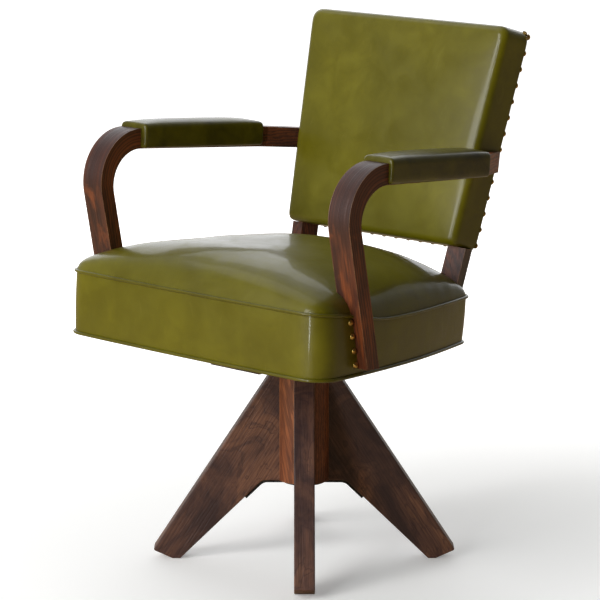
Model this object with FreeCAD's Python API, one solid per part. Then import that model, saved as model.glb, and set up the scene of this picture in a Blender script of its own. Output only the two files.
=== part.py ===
"""Swivel office armchair: crossed-board base, screw-adjusted swivel, upholstered seat, arms and back.

Frame: origin on the swivel axis at floor level, +Z up, the seat faces -Y, and +X is to the right as seen
from the front; right and left in the names of nodes are meant that way too.
Units: millimetres.  The seat group is drawn level and then raked about a cross axis over the spindle.
"""
import FreeCAD, Part
import math
import os

V = FreeCAD.Vector
os.makedirs("parts", exist_ok=True)

# ---- driving dimensions -------------------------------------------------------------------------
BASE_YAW = 43.2             # rest angle of the base under the seat, degrees
SEAT_RAKE = 2.7             # the seat group tips down to the rear, degrees
RAKE_Z = 420.0              # height of the rake axis

# base
COLUMN_R = 42.0
COLUMN_BOTTOM = 128.0
COLUMN_TOP = 298.0
LEG_T = 32.0
LEG_ARRIS_R = 2.0
LEG_ROOT_R = 28.0           # legs are housed in the column to this radius
LEG_TOP_R = 55.0
FOOT_IN_R = 197.0
FOOT_FLAT_R = 209.0
FOOT_OUT_R = 240.0
FOOT_OUT_Z = 14.0
LEG_SHOULDER_R = 66.0       # where the underside turns down towards the foot
STRAP_W = 24.0
STRAP_T = 4.0
STRAP_END_R = 94.0

# screw swivel
SOCKET_R = 20.0
SLEEVE_R = 16.0
SPINDLE_R = 12.0
RUN_GAP = 0.06              # radial running clearance
PLATE_R = 38.0
PLATE_T = 4.0
WASHER_R = 26.0
WASHER_T = 2.0
NUT_R = 24.0
NUT_LOBE_R = 7.0
NUT_H = 12.5
SPINDLE_BOTTOM = 162.0      # leaves 70 mm of height adjustment in the sleeve
IRON_TOP = 330.0
IRON_T = 6.0

# seat
SEAT_FRONT = -256.0
SEAT_REAR = 188.0
SEAT_HALF_FRONT = 273.0
SEAT_HALF_REAR = 181.0
SEAT_SIDE_BULGE = 13.0
SEAT_FRONT_BULGE = 6.0
CORNER_R_FRONT = 38.0
CORNER_R_REAR = 30.0
SEAT_BOTTOM = 354.0
RAIL_BOTTOM = 356.0
RAIL_TOP = 404.0
RAIL_T = 24.0
BEARER_W = 50.0
BEARER_FRONT_Y = -115.0
BEARER_REAR_Y = 131.0       # the stile feet are let into this bearer
LEATHER_T = 2.0
SKIRT_T = 6.0               # felt between the rails and the leather
EDGE_Z_FRONT = 456.0        # height of the top edge at the front
EDGE_Z_BACK = 430.0         # and along the sides and the rear
EDGE_FALL_Y = -160.0        # the edge steps down from one to the other about here
EDGE_FALL_LENGTH = 32.0
CROWN_H = 80.0              # rise of the cushion's middle above its edges
CROWN_FULLNESS = 0.6        # 1 is a plain dome, smaller is fuller towards the edges
CROWN_DIP = 12.0            # the dome starts this far under the seam, so the seam stays a clean line
PIPING_D = 5.0

# arms
ARM_IN_X = 240.0
ARM_OUT_X = 282.0
ARM_MID_IN_X = 221.0        # at the rear end of the pad
ARM_MID_OUT_X = 247.0
ARM_REAR_IN_X = 166.0       # where it is let into the side of the back
ARM_REAR_OUT_X = 192.0
ARM_END_INSET = 8.0         # it stops this far short of the rear of the back
ARM_REAR_Y = 240.0
ARM_LEAN = 13.6             # the front post leans, degrees
ARM_FOOT_Z = 366.0
ARM_FRONT_FOOT_Y = -163.0
ARM_POST_T = 25.5
ARM_TOP = 670.0
ARM_REBATE = 661.0          # top of the wood under the pad
ARM_REAR_TOP = 655.0
ARM_UNDER = 641.0           # underside at the bend
ARM_REAR_UNDER = 623.0
BEND_OUT_R = 81.0
BEND_IN_R = 54.0
PAD_FRONT_Y = -132.0
PAD_REAR_Y = 118.0
PAD_IN_FRONT = 229.0
PAD_OUT_FRONT = 288.0
PAD_SPLAY = 19.0            # the pads converge by this much over their length
PAD_TOP = 669.5             # at the rear end
PAD_BOTTOM = 630.5
PAD_TILT = 1.95             # the pads rise to the front, degrees

# back
BACK_Y = 141.0
BACK_Z = 512.0
BACK_LEAN = 12.67
BACK_H = 351.0
BACK_HALF_LOW = 179.0
BACK_HALF_TOP = 208.0
BACK_T = 60.0
BACK_RAIL_Y = 27.0          # front of the wooden frame inside the back
BACK_CORNER_R = 14.0
STILE_W = 31.0
STILE_TURN = 18.0
STILE_X = 166.0             # stile centre where it leaves the back panel
STILE_Y = 179.0
STILE_FOOT_Z = 360.0
BACK_FRAME_INSET = 8.0      # the wooden frame stands this far inside the leather
NAIL_R = 5.0
NAIL_H = 4.2
NAIL_PITCH = 24.0
NAIL_INSET = 3.4            # the back's nails sit this close to its rear edges


# ---- helpers ------------------------------------------------------------------------------------
def save(name, shapes):
    """Write one node; several solids go in as a group."""
    if not isinstance(shapes, (list, tuple)):
        shapes = [shapes]
    solids = []
    for shape in shapes:
        solids += [s for s in shape.removeSplitter().Solids if s.Volume > 0.5]
    result = solids[0] if len(solids) == 1 else Part.makeCompound(solids)
    if not result.isValid():
        print("not valid:", name)
    result.exportStep("parts/%s.step" % name)
    return result


def cyl(radius, z0, z1, x=0.0, y=0.0):
    return Part.makeCylinder(radius, z1 - z0, V(x, y, z0))


def ring(r_out, r_in, z0, z1):
    return cyl(r_out, z0, z1).cut(cyl(r_in, z0 - 1, z1 + 1))


def box(x0, x1, y0, y1, z0, z1):
    return Part.makeBox(x1 - x0, y1 - y0, z1 - z0, V(x0, y0, z0))


def rounded_wire(corners, plane):
    """Closed wire through (a, b, radius) corners; plane maps (a, b) to a point."""
    count = len(corners)
    starts, ends, arcs = [], [], []
    for i in range(count):
        a, b, radius = corners[i]
        here = V(a, b, 0)
        before = V(corners[i - 1][0], corners[i - 1][1], 0)
        after = V(corners[(i + 1) % count][0], corners[(i + 1) % count][1], 0)
        to_before = (before - here).normalize()
        to_after = (after - here).normalize()
        if radius <= 0:
            starts.append(here)
            ends.append(here)
            arcs.append(None)
            continue
        half = to_before.getAngle(to_after) / 2
        reach = radius / math.tan(half)
        middle = (to_before + to_after).normalize()
        centre = here + middle * (radius / math.sin(half))
        starts.append(here + to_before * reach)
        ends.append(here + to_after * reach)
        arcs.append(centre - middle * radius)
    edges = []
    for i in range(count):
        if arcs[i] is not None:
            edges.append(Part.Arc(plane(starts[i]), plane(arcs[i]), plane(ends[i])).toShape())
        following = starts[(i + 1) % count]
        if (following - ends[i]).Length > 1e-6:
            edges.append(Part.LineSegment(plane(ends[i]), plane(following)).toShape())
    return Part.Wire(edges)


def prism_yz(corners, x0, x1):
    """Extrude a (y, z, radius) outline from x0 to x1."""
    wire = rounded_wire(corners, lambda p: V(x0, p.x, p.y))
    return Part.Face(wire).extrude(V(x1 - x0, 0, 0))


def prism_xz(corners, y0, y1):
    wire = rounded_wire(corners, lambda p: V(p.x, y0, p.y))
    return Part.Face(wire).extrude(V(0, y1 - y0, 0))


def prism_xy(corners, z0, z1):
    wire = rounded_wire(corners, lambda p: V(p.x, p.y, z0))
    return Part.Face(wire).extrude(V(0, 0, z1 - z0))


def turned(shape, angle, axis=V(0, 0, 1), centre=V(0, 0, 0)):
    copy = shape.copy()
    copy.rotate(centre, axis, angle)
    return copy


def mirrored(shape):
    return shape.mirror(V(0, 0, 0), V(1, 0, 0))


def both_sides(shapes):
    return shapes + [mirrored(s) for s in shapes]


def without(shape, tools):
    for tool in tools:
        shape = shape.cut(tool)
    return shape


def raked(shape):
    """From the level drawing of the seat group to its place on the chair."""
    return turned(shape, -SEAT_RAKE, V(1, 0, 0), V(0, 0, RAKE_Z))


def unraked(shape):
    return turned(shape, SEAT_RAKE, V(1, 0, 0), V(0, 0, RAKE_Z))


def screw(radius, head_r, length, at, direction):
    """Countersunk wood screw; the head is flush with the face at the point, the shank runs inwards."""
    head_h = head_r - radius
    head = Part.makeCone(head_r, radius, head_h)
    shank = Part.makeCylinder(radius, length - head_h - radius, V(0, 0, head_h))
    tip = Part.makeCone(radius, radius * 0.2, radius, V(0, 0, length - radius))
    body = head.fuse(shank).fuse(tip)
    body.Placement = FreeCAD.Placement(at, FreeCAD.Rotation(V(0, 0, 1), direction))
    return body


def dome_nail(at, direction):
    """Head of an upholstery nail, a low dome standing on the leather."""
    ball_r = (NAIL_R ** 2 + NAIL_H ** 2) / (2 * NAIL_H)
    sink = ball_r - NAIL_H
    ball = Part.makeSphere(ball_r, V(0, 0, -sink))
    head = ball.common(Part.makeCylinder(NAIL_R * 2, NAIL_R, V(0, 0, 0)))
    head.Placement = FreeCAD.Placement(at, FreeCAD.Rotation(V(0, 0, 1), direction))
    return head


# ---- base ---------------------------------------------------------------------------------------
def leg_blank():
    """The leg that points along -Y, before its screw holes."""
    outline = [(-LEG_ROOT_R, COLUMN_BOTTOM, 0), (-LEG_SHOULDER_R, COLUMN_BOTTOM, 12),
               (-FOOT_IN_R, 0, 0), (-FOOT_FLAT_R, 0, 0), (-FOOT_OUT_R, FOOT_OUT_Z, 3),
               (-LEG_TOP_R, COLUMN_TOP, 0), (-LEG_ROOT_R, COLUMN_TOP, 0)]
    board = prism_yz(outline, -LEG_T / 2, LEG_T / 2)
    arrises = [e for e in board.Edges if e.BoundBox.XLength < 0.01 and e.BoundBox.YMin < -LEG_TOP_R - 1]
    return board.makeFillet(LEG_ARRIS_R, arrises)


def strap_path(drop, radius):
    """Points under the leg at a distance below its underside."""
    slope = math.atan2(COLUMN_BOTTOM, FOOT_IN_R - LEG_SHOULDER_R)
    shoulder = LEG_SHOULDER_R - drop * math.tan(slope / 2)
    run = STRAP_END_R - LEG_SHOULDER_R
    end = (-(LEG_SHOULDER_R + run - drop * math.sin(slope)),
           COLUMN_BOTTOM - run * math.tan(slope) - drop * math.cos(slope), 0)
    return [(0, COLUMN_BOTTOM - drop, 0), (-shoulder, COLUMN_BOTTOM - drop, radius), end]


def build_base():
    slope = math.atan2(COLUMN_BOTTOM, FOOT_IN_R - LEG_SHOULDER_R)
    names = ["leg_front", "leg_right", "leg_rear", "leg_left"]

    strap_outline = strap_path(0, 12) + strap_path(STRAP_T, 16)[::-1]
    strap_arm = prism_yz(strap_outline, -STRAP_W / 2, STRAP_W / 2)
    strap = cyl(34, COLUMN_BOTTOM - STRAP_T, COLUMN_BOTTOM)
    for i in range(4):
        strap = strap.fuse(turned(strap_arm, 90 * i))

    flat_screw = screw(2.5, 5, 30, V(0, -50, COLUMN_BOTTOM - STRAP_T), V(0, 0, 1))
    along = (STRAP_END_R - LEG_SHOULDER_R) * 0.72
    slant_at = V(0, -(LEG_SHOULDER_R + along - STRAP_T * math.sin(slope)),
                 COLUMN_BOTTOM - along * math.tan(slope) - STRAP_T * math.cos(slope))
    slant_screw = screw(2.5, 5, 30, slant_at, V(0, -math.sin(slope), math.cos(slope)))
    strap_screws = []
    for i in range(4):
        strap_screws += [turned(flat_screw, 90 * i), turned(slant_screw, 90 * i)]

    column = cyl(COLUMN_R, COLUMN_BOTTOM, COLUMN_TOP).cut(cyl(SOCKET_R, COLUMN_BOTTOM, COLUMN_TOP))
    for i in range(4):
        slot = box(-LEG_T / 2, LEG_T / 2, -COLUMN_R - 1, -LEG_ROOT_R, COLUMN_BOTTOM, COLUMN_TOP)
        column = column.cut(turned(slot, 90 * i))

    socket = ring(SOCKET_R, SLEEVE_R + RUN_GAP, COLUMN_BOTTOM + 12, COLUMN_TOP)
    plate = ring(PLATE_R, SLEEVE_R + 1, COLUMN_TOP, COLUMN_TOP + PLATE_T)
    plate_screws = []
    for i in range(4):
        down = screw(2.0, 4, 26, V(0, -32, COLUMN_TOP + PLATE_T), V(0, 0, -1))
        plate_screws.append(turned(down, 45 + 90 * i))
    washer_z = COLUMN_TOP + PLATE_T
    washer = ring(WASHER_R, SLEEVE_R + 1, washer_z, washer_z + WASHER_T)
    for s in strap_screws:
        strap = strap.cut(s)
    for s in plate_screws:
        plate = plate.cut(s)
        column = column.cut(s)
    strap = strap.cut(cyl(SOCKET_R - 2, 0, COLUMN_BOTTOM))

    for i, name in enumerate(names):
        leg = turned(leg_blank(), 90 * i)
        for s in strap_screws:
            leg = leg.cut(s)
        save(name, turned(leg, BASE_YAW))
    placed = {"column": column, "cross_strap": strap, "socket_tube": socket, "bearing_plate": plate,
              "thrust_washer": washer, "cross_strap_screws": strap_screws,
              "bearing_plate_screws": plate_screws}
    for name, shape in placed.items():
        group = shape if isinstance(shape, list) else [shape]
        save(name, [turned(s, BASE_YAW) for s in group])


# ---- screw swivel -------------------------------------------------------------------------------
def build_swivel():
    flange_z = COLUMN_TOP + PLATE_T + WASHER_T + 0.1
    flange_t = 4.0
    sleeve_bottom = 176.0
    sleeve = cyl(SLEEVE_R, sleeve_bottom, flange_z + flange_t).fuse(
        cyl(WASHER_R, flange_z, flange_z + flange_t))
    sleeve = sleeve.cut(cyl(SPINDLE_R + RUN_GAP, sleeve_bottom - 1, flange_z + flange_t + 1))
    key_zone = ring(SPINDLE_R + 1.5, SPINDLE_R - 2.6, sleeve_bottom + 4, flange_z)
    key = key_zone.common(box(-2.6, 2.6, 0, 40, sleeve_bottom, flange_z))
    sleeve = sleeve.fuse(key)
    save("turning_sleeve", turned(sleeve, BASE_YAW))

    nut_z = flange_z + flange_t + 0.2
    nut = cyl(NUT_R, nut_z, nut_z + NUT_H)
    lobes = 6
    for i in range(lobes):
        lobe = cyl(NUT_LOBE_R, nut_z + 1.5, nut_z + NUT_H - 1.5, 0, -NUT_R - 1)
        nut = nut.fuse(turned(lobe, 360 / lobes * i))
    nut = nut.cut(cyl(SPINDLE_R + RUN_GAP, nut_z - 1, nut_z + NUT_H + 1))
    save("adjusting_nut", nut)

    spindle = cyl(SPINDLE_R, SPINDLE_BOTTOM, IRON_TOP)
    keyway = box(-3, 3, SPINDLE_R - 3.2, SPINDLE_R + 2, SPINDLE_BOTTOM - 1, IRON_TOP - IRON_T - 4)
    spindle = spindle.cut(turned(keyway, BASE_YAW))
    save("spindle", spindle)
    return nut_z + NUT_H


# ---- seat ---------------------------------------------------------------------------------------
def seat_outline(offset):
    """Plan prism of the seat, offset outwards, tall enough for every seat piece."""
    z = 300.0
    front = [V(-SEAT_HALF_FRONT, SEAT_FRONT, z), V(0, SEAT_FRONT - SEAT_FRONT_BULGE, z),
             V(SEAT_HALF_FRONT, SEAT_FRONT, z)]
    rear = [V(SEAT_HALF_REAR, SEAT_REAR, z), V(-SEAT_HALF_REAR, SEAT_REAR, z)]
    middle = V((SEAT_HALF_FRONT + SEAT_HALF_REAR) / 2 + SEAT_SIDE_BULGE, (SEAT_FRONT + SEAT_REAR) / 2, z)
    edges = [Part.Arc(*front).toShape(),
             Part.Arc(front[2], middle, rear[0]).toShape(),
             Part.LineSegment(rear[0], rear[1]).toShape(),
             Part.Arc(rear[1], V(-middle.x, middle.y, z), front[0]).toShape()]
    wire = Part.Wire(edges)
    if offset:
        wire = wire.makeOffset2D(offset, join=2)
    prism = Part.Face(wire).extrude(V(0, 0, 300))
    for y, radius in ((SEAT_FRONT - offset, CORNER_R_FRONT), (SEAT_REAR + offset, CORNER_R_REAR)):
        corners = [e for e in prism.Edges if abs(e.Vertexes[0].Z - e.Vertexes[-1].Z) > 200
                   and abs(e.Vertexes[0].Y - y) < 6]
        prism = prism.makeFillet(max(radius + offset, 4), corners)
    return prism


def slab(prism, z0, z1):
    return prism.common(box(-400, 400, -400, 400, z0, z1))


def seat_half(y):
    """Half the width of the seat at y."""
    along = (y - SEAT_FRONT) / (SEAT_REAR - SEAT_FRONT)
    straight = SEAT_HALF_FRONT + (SEAT_HALF_REAR - SEAT_HALF_FRONT) * along
    return straight + 4 * SEAT_SIDE_BULGE * along * (1 - along)


def seam_height(y):
    """Height of the seam round the top of the seat."""
    step = 1 + math.exp((y - EDGE_FALL_Y) / EDGE_FALL_LENGTH)
    return EDGE_Z_BACK + (EDGE_Z_FRONT - EDGE_Z_BACK) / step


def dome_height(x, y):
    """Height of the stuffed top; at the outline it dips under the seam."""
    along = (y - SEAT_FRONT) / (SEAT_REAR - SEAT_FRONT)
    across = max(0.0, 1 - (x / seat_half(y)) ** 2)
    length = max(0.0, 1 - (2 * along - 1) ** 2)
    rise = (across * length) ** CROWN_FULLNESS
    return seam_height(y) - CROWN_DIP + (CROWN_H + CROWN_DIP) * rise


def crown(depth):
    """Solid under the seat's crowned surface, a distance below the leather's outside."""
    steps = 18
    x_reach, y_low, y_high = 300.0, SEAT_FRONT - 30, SEAT_REAR + 30
    grid, seam = [], []
    for j in range(steps + 1):
        y = y_low + (y_high - y_low) * j / steps
        seam.append(V(-x_reach, y, seam_height(y) - depth))
    for i in range(steps + 1):
        x = -x_reach + 2 * x_reach * i / steps
        grid.append([V(x, p.y, dome_height(x, min(max(p.y, SEAT_FRONT), SEAT_REAR)) - depth) for p in seam])
    surface = Part.BSplineSurface()
    surface.interpolate(grid)
    dome = surface.toShape().extrude(V(0, 0, -260))

    line = Part.BSplineCurve()
    line.interpolate(seam)
    base = [V(-x_reach, y_high, 200), V(-x_reach, y_low, 200)]
    sides = Part.makePolygon([seam[-1]] + base + [seam[0]])
    profile = Part.Face(Part.Wire([line.toShape()] + sides.Edges))
    return profile.extrude(V(2 * x_reach, 0, 0)).fuse(dome)


def arm_side_profile():
    """Arm seen from the side: (y, z, radius) corners of the bent arm."""
    lean = math.tan(math.radians(ARM_LEAN))
    rise = ARM_TOP - ARM_FOOT_Z
    corner_out = ARM_FRONT_FOOT_Y - rise * lean
    across = ARM_POST_T / math.cos(math.radians(ARM_LEAN))
    corner_in = ARM_FRONT_FOOT_Y + across - (ARM_UNDER - ARM_FOOT_Z) * lean
    return [(ARM_FRONT_FOOT_Y, ARM_FOOT_Z, 0), (corner_out, ARM_TOP, BEND_OUT_R),
            (PAD_FRONT_Y, ARM_TOP, 0), (PAD_FRONT_Y, ARM_REBATE, 0), (PAD_REAR_Y, ARM_REBATE, 0),
            (ARM_REAR_Y, ARM_REAR_TOP, 0), (ARM_REAR_Y, ARM_REAR_UNDER, 0), (corner_in, ARM_UNDER, BEND_IN_R),
            (ARM_FRONT_FOOT_Y + across, ARM_FOOT_Z, 0)]


def right_arm_blank():
    """Arm on the +X side."""
    plan = [(ARM_IN_X, -260, 0), (ARM_OUT_X, -260, 0), (ARM_OUT_X, PAD_FRONT_Y, 300),
            (ARM_MID_OUT_X, PAD_REAR_Y, 60), (ARM_REAR_OUT_X, ARM_REAR_Y, 0),
            (ARM_REAR_IN_X, ARM_REAR_Y, 0), (ARM_MID_IN_X, PAD_REAR_Y, 60),
            (ARM_IN_X, PAD_FRONT_Y, 300)]
    arm = prism_yz(arm_side_profile(), 150, 320).common(prism_xy(plan, 300, 700))
    behind = back_local(box(-400, 400, BACK_T - ARM_END_INSET, 400, -400, 700))
    return arm.cut(behind)


def arm_pad_blank():
    """Leather pad that wraps the arm; the wood is cut out of it."""
    plan = [(PAD_IN_FRONT, PAD_FRONT_Y, 0), (PAD_OUT_FRONT, PAD_FRONT_Y, 0),
            (PAD_OUT_FRONT - PAD_SPLAY, PAD_REAR_Y, 0), (PAD_IN_FRONT - PAD_SPLAY, PAD_REAR_Y, 0)]
    pad = prism_xy(plan, PAD_BOTTOM, PAD_TOP)
    long_edges = [e for e in pad.Edges if e.Length > 200]
    return turned(pad.makeFillet(5, long_edges), -PAD_TILT, V(1, 0, 0), V(0, PAD_REAR_Y, PAD_BOTTOM))


# ---- back ---------------------------------------------------------------------------------------
def back_local(shape):
    """From the upright drawing of the back (front face at y=0, bottom at z=0) to its place."""
    copy = shape.copy()
    copy.translate(V(0, BACK_Y, BACK_Z))
    return turned(copy, -BACK_LEAN, V(1, 0, 0), V(0, BACK_Y, BACK_Z))


def back_half(z):
    return BACK_HALF_LOW + (BACK_HALF_TOP - BACK_HALF_LOW) * z / BACK_H


def back_block(inset, y0, y1, z0=0.0, z1=BACK_H):
    radius = max(BACK_CORNER_R - inset, 3)
    z0 += inset
    z1 -= inset
    outline = [(-back_half(z0) + inset, z0, radius / 2), (back_half(z0) - inset, z0, radius / 2),
               (back_half(z1) - inset, z1, radius), (-back_half(z1) + inset, z1, radius)]
    return prism_xz(outline, y0, y1)


def right_stile_blank():
    """Square stile on the +X side: set cornerwise below the back, housed in it above."""
    lean = math.tan(math.radians(BACK_LEAN))
    drift = (BACK_HALF_TOP - BACK_HALF_LOW) / BACK_H
    foot = STILE_FOOT_Z - BACK_Z - 12
    length = 20 - foot
    ends = []
    for z in (foot, foot + length):
        half = STILE_W / 2
        square = Part.makePolygon([V(-half, -half, 0), V(half, -half, 0), V(half, half, 0),
                                   V(-half, half, 0), V(-half, -half, 0)])
        square = turned(square, STILE_TURN)
        square.translate(V(STILE_X + drift * z, STILE_Y + lean * z, BACK_Z + z))
        ends.append(square)
    post = Part.makeLoft(ends, True, True)
    low, high = back_half(0) - BACK_FRAME_INSET, back_half(BACK_H) - BACK_FRAME_INSET
    housed = [(low - STILE_W, 0, 0), (low, 0, 0), (high, BACK_H - BACK_FRAME_INSET, 0),
              (high - STILE_W, BACK_H - BACK_FRAME_INSET, 0)]
    upper = back_local(prism_xz(housed, BACK_RAIL_Y, BACK_T - 4))
    stile = post.cut(back_local(box(-400, 400, -100, 200, 0, 400))).fuse(upper)
    return stile.cut(box(0, 400, -400, 400, 0, STILE_FOOT_Z))


# ---- seat frame ---------------------------------------------------------------------------------
def seat_frame(frame_out, frame_in):
    """Four rails with butt joints at the front and rear ones, and the bearers between them."""
    frame = slab(frame_out, RAIL_BOTTOM, RAIL_TOP).cut(frame_in)
    skin = LEATHER_T + SKIRT_T + RAIL_T
    front_zone = box(-400, 400, -400, SEAT_FRONT + skin, 0, 700)
    rear_zone = box(-400, 400, SEAT_REAR - skin, 400, 0, 700)
    sides = frame.cut(front_zone).cut(rear_zone)
    parts = {"seat_rail_front": frame.common(front_zone),
             "seat_rail_rear": frame.common(rear_zone),
             "seat_rail_right": sides.common(box(0, 400, -400, 400, 0, 700)),
             "seat_rail_left": sides.common(box(-400, 0, -400, 400, 0, 700))}
    bearer_zone = slab(frame_in, RAIL_BOTTOM, RAIL_BOTTOM + 24).cut(rear_zone)
    for name, y in (("cross_bearer_front", BEARER_FRONT_Y), ("cross_bearer_rear", BEARER_REAR_Y)):
        parts[name] = bearer_zone.common(box(-400, 400, y - BEARER_W / 2, y + BEARER_W / 2, 0, 700))
    return parts


def seat_upholstery(frame_out):
    outer = seat_outline(0)
    under_leather = seat_outline(-LEATHER_T)
    stuffed = under_leather.common(crown(LEATHER_T))
    stuffing = stuffed.common(box(-400, 400, -400, 400, RAIL_BOTTOM, 700))
    cover = outer.common(crown(0)).common(box(-400, 400, -400, 400, SEAT_BOTTOM, 700))
    band = seat_outline(PIPING_D * 0.6).cut(outer)
    return {"dust_cover": slab(under_leather, RAIL_BOTTOM - 1, RAIL_BOTTOM),
            "seat_stuffing": stuffing.cut(slab(frame_out, 300, RAIL_TOP + 3)),
            "seat_cover": cover.cut(stuffed),
            "seat_top_piping": band.common(crown(0)).cut(crown(PIPING_D)),
            "seat_bottom_piping": slab(band, SEAT_BOTTOM, SEAT_BOTTOM + PIPING_D)}


def seat_webbing():
    straps = []
    for x in (-130, -45, 45, 130):
        straps.append(box(x - 25, x + 25, SEAT_FRONT + 20, SEAT_REAR - 20, RAIL_TOP, RAIL_TOP + 1.5))
    for y in (-150, -40, 70):
        half = seat_half(y + 25) - LEATHER_T - SKIRT_T - 4
        straps.append(box(-half, half, y - 25, y + 25, RAIL_TOP + 1.5, RAIL_TOP + 3))
    return straps


def seat_nails():
    """Nails up the leather in front of the arm post on the +X side."""
    nails = []
    for z in (372.0, 394.0, 416.0, 437.5):
        y = ARM_FRONT_FOOT_Y - (z - ARM_FOOT_Z) * math.tan(math.radians(ARM_LEAN)) - 6
        nails.append(dome_nail(V(seat_half(y), y, z), V(1, 0.12, 0)).cut(seat_outline(0)))
    return nails


def mounting(nut_top):
    """Cast iron with a hub and four arms, the board it carries, and their bolts; all drawn in place."""
    # the board is a wedge between the level iron and the raked frame
    board_half, board_len = 52.0, 156.0
    blank = box(-board_half, board_half, -board_len, board_len, IRON_TOP, IRON_TOP + 60)
    board = blank.cut(raked(box(-400, 400, -400, 400, RAIL_BOTTOM - 1, 700)))

    iron_z = IRON_TOP - IRON_T
    iron = cyl(22, nut_top + 0.8, IRON_TOP)
    iron = iron.fuse(box(-17, 17, -134, 146, iron_z, IRON_TOP)).fuse(box(-56, 56, -17, 17, iron_z, IRON_TOP))
    iron = iron.cut(cyl(SPINDLE_R, 0, 400))

    bolts = []
    for x, y, top in ((0, BEARER_FRONT_Y, 378), (0, BEARER_REAR_Y, 366), (0, -62, 350), (0, 66, 346),
                      (-46, 0, 348), (46, 0, 348)):
        head = cyl(6.5, iron_z - 4.5, iron_z, x, y)
        bolts.append(cyl(3.5, iron_z, top, x, y).fuse(head))
    return iron, board, bolts


# ---- screws of the arms -------------------------------------------------------------------------
def arm_foot_screws():
    """Driven outwards through the side rail on the +X side."""
    screws = []
    for z in (374.0, 394.0):
        y = ARM_FRONT_FOOT_Y + ARM_POST_T * 0.55 - (z - ARM_FOOT_Z) * math.tan(math.radians(ARM_LEAN))
        rail_face = seat_half(y) - LEATHER_T - SKIRT_T - RAIL_T
        screws.append(screw(2.5, 5.5, 46, V(rail_face, y, z), V(1, 0, 0)))
    return screws


def arm_rear_screws():
    """Driven outwards through the stile on the +X side."""
    screws = []
    z = 641.0
    stile_face = back_half((z - BACK_Z) / math.cos(math.radians(BACK_LEAN))) - BACK_FRAME_INSET - STILE_W
    for y in (203.0, 213.0):
        screws.append(screw(2.5, 4.5, 50, V(stile_face, y, z), V(1, 0, 0)))
    return screws


# ---- upholstered back ---------------------------------------------------------------------------
def back_panel():
    """Rails, stuffing and leather, before the stiles and the arms are let in."""
    inset = BACK_FRAME_INSET
    rail_zone = back_block(inset, BACK_RAIL_Y, BACK_T - 4)
    parts = {}
    for name, z0, z1 in (("back_rail_bottom", inset, 48), ("back_rail_middle", 160, 200),
                         ("back_rail_top", BACK_H - 48, BACK_H - inset)):
        parts[name] = back_local(rail_zone.common(box(-400, 400, 0, 100, z0, z1)))
    shell = back_block(0, 0, BACK_T - 4).cut(back_block(LEATHER_T, LEATHER_T, BACK_T))
    padding = back_block(LEATHER_T, LEATHER_T, BACK_T - 4).cut(back_block(inset, BACK_RAIL_Y, BACK_T))
    parts["back_cover"] = back_local(shell)
    parts["back_stuffing"] = back_local(padding)
    parts["back_rear_panel"] = back_local(back_block(0, BACK_T - 4, BACK_T))
    return parts


def back_nails(uprights):
    """Rows of nails round the edge of the rear panel, tipped outwards over its corner."""
    tip = 0.5
    whole_back = back_block(0, 0, BACK_T)
    right, top, bottom = [], [], []
    run = BACK_H - 16
    count = int(run / NAIL_PITCH)
    for i in range(count + 1):
        z = 8 + run * i / count
        right.append(dome_nail(V(back_half(z) - NAIL_INSET, BACK_T, z), V(tip, 1, 0)))
    for row, z, lift in ((top, BACK_H - NAIL_INSET, tip), (bottom, NAIL_INSET, -tip)):
        run = 2 * (back_half(z) - NAIL_INSET - 8)
        count = int(run / NAIL_PITCH)
        for i in range(count + 1):
            row.append(dome_nail(V(-run / 2 + run * i / count, BACK_T, z), V(0, 1, lift)))
    rows = {"back_nails_right": right, "back_nails_left": [mirrored(n) for n in right],
            "back_nails_top": top, "back_nails_bottom": bottom}
    for name, nails in rows.items():
        rows[name] = [without(back_local(n.cut(whole_back)), uprights) for n in nails]
    return rows


# ---- the whole seat group -----------------------------------------------------------------------
def build_seat(nut_top):
    arm_r = right_arm_blank()
    stile_r = right_stile_blank().cut(arm_r)
    pad_r = arm_pad_blank().cut(arm_r)
    uprights = both_sides([arm_r, stile_r])
    foot_screws = arm_foot_screws()
    rear_screws = arm_rear_screws()

    frame_out = seat_outline(-LEATHER_T - SKIRT_T)
    frame_in = seat_outline(-LEATHER_T - SKIRT_T - RAIL_T)
    parts = seat_frame(frame_out, frame_in)
    parts.update(seat_upholstery(frame_out))
    parts.update(back_panel())
    for name in parts:
        parts[name] = without(parts[name], uprights)

    iron, board, bolts = mounting(nut_top)
    for name in ("dust_cover", "cross_bearer_front", "cross_bearer_rear"):
        parts[name] = without(parts[name], [unraked(b) for b in bolts])
    for name in ("seat_rail_right", "seat_rail_left"):
        parts[name] = without(parts[name], both_sides(foot_screws))
    for name in ("back_stuffing", "back_cover"):
        parts[name] = without(parts[name], both_sides(rear_screws))

    nails = seat_nails()
    parts.update(back_nails(uprights))
    parts["right_seat_nails"] = nails
    parts["left_seat_nails"] = [mirrored(n) for n in nails]
    parts["seat_webbing"] = [without(strap, uprights) for strap in seat_webbing()]
    parts["arm_post_screws"] = both_sides(foot_screws)
    parts["arm_rear_screws"] = both_sides(rear_screws)
    for name, shape in (("arm", without(arm_r, foot_screws + rear_screws)),
                        ("stile", without(stile_r, rear_screws)), ("arm_pad", pad_r)):
        parts["right_" + name] = shape
        parts["left_" + name] = mirrored(shape)

    for name, shape in parts.items():
        group = shape if isinstance(shape, list) else [shape]
        save(name, [raked(s) for s in group])
    save("seat_iron", without(iron, bolts))
    save("mounting_board", without(board, bolts))
    save("seat_iron_bolts", bolts)


build_base()
build_seat(build_swivel())
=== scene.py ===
import math

import bpy
import bmesh
from mathutils import Matrix, Vector, noise
from mathutils.bvhtree import BVHTree


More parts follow.
